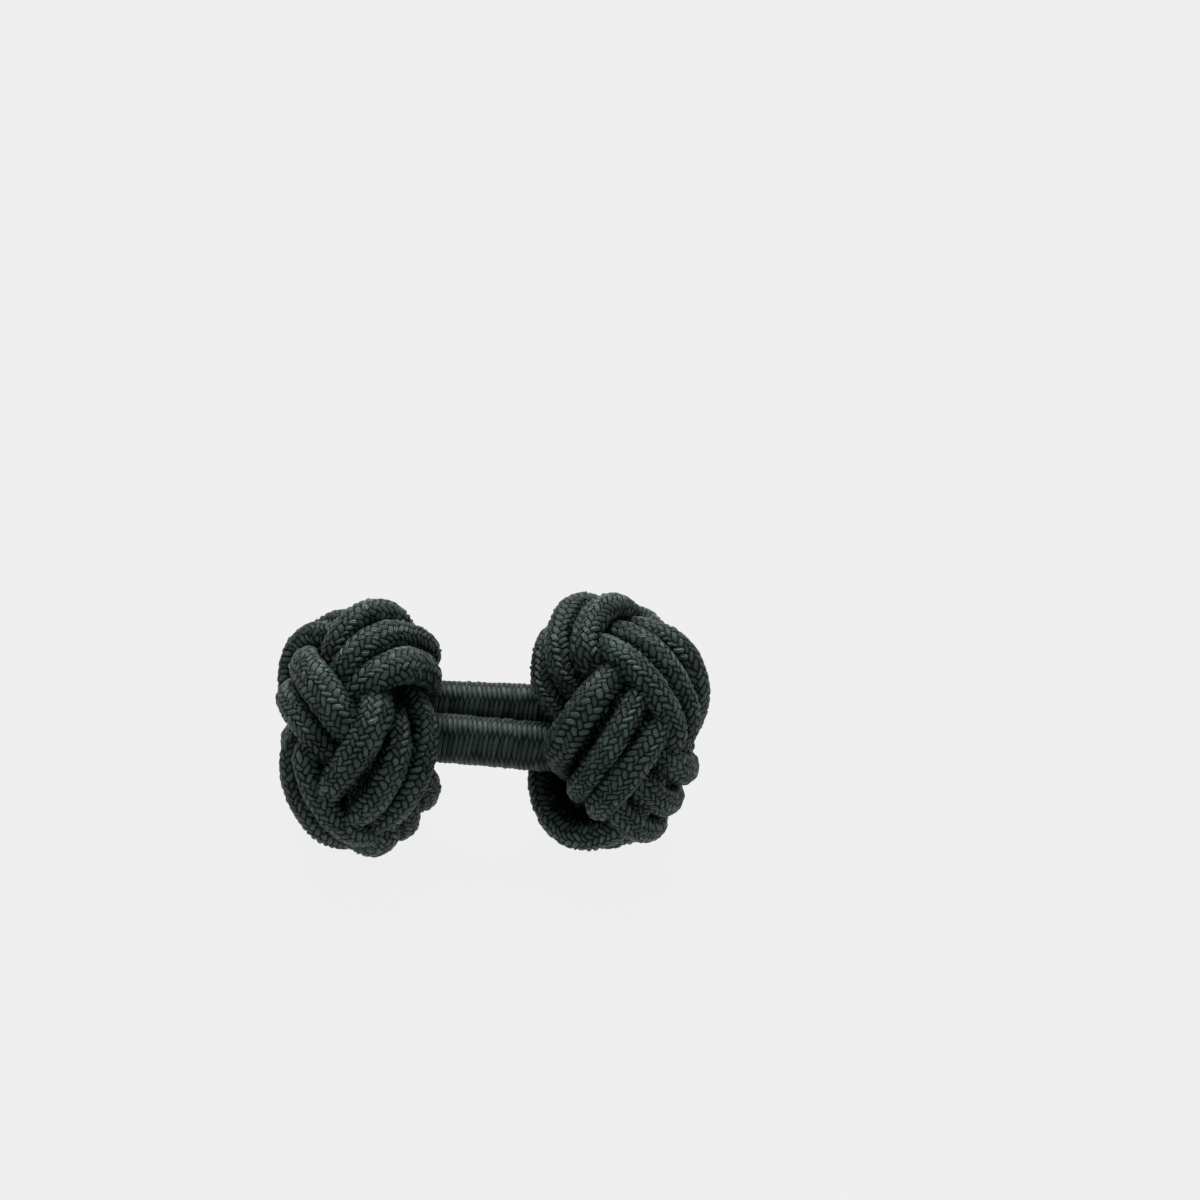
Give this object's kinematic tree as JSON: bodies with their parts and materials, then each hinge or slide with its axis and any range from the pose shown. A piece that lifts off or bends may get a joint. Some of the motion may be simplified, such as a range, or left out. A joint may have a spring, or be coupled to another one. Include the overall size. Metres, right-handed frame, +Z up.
{
  "type": "knot cufflink",
  "caption": "Silk-knot cufflink: a ball knot of plaited cord at each end of a short pair of link cords.",
  "frame": {"origin": "on the surface that the cufflink lies on, below the middle of the box round both knots", "axes": "+X along the link cords towards the right knot, +Y away from the viewer, +Z up"},
  "size_m": [0.0196, 0.0118, 0.0118],
  "materials": {
    "knot_cord": "braided silky cord, dark bottle green",
    "link_cord": "fine ribbed elastic cord, dark bottle green"
  },
  "bodies": {
    "root": {"left_knot": "knot_cord", "right_knot": "knot_cord", "front_link_cord": "link_cord", "rear_link_cord": "link_cord"}
  },
  "joints": []
}
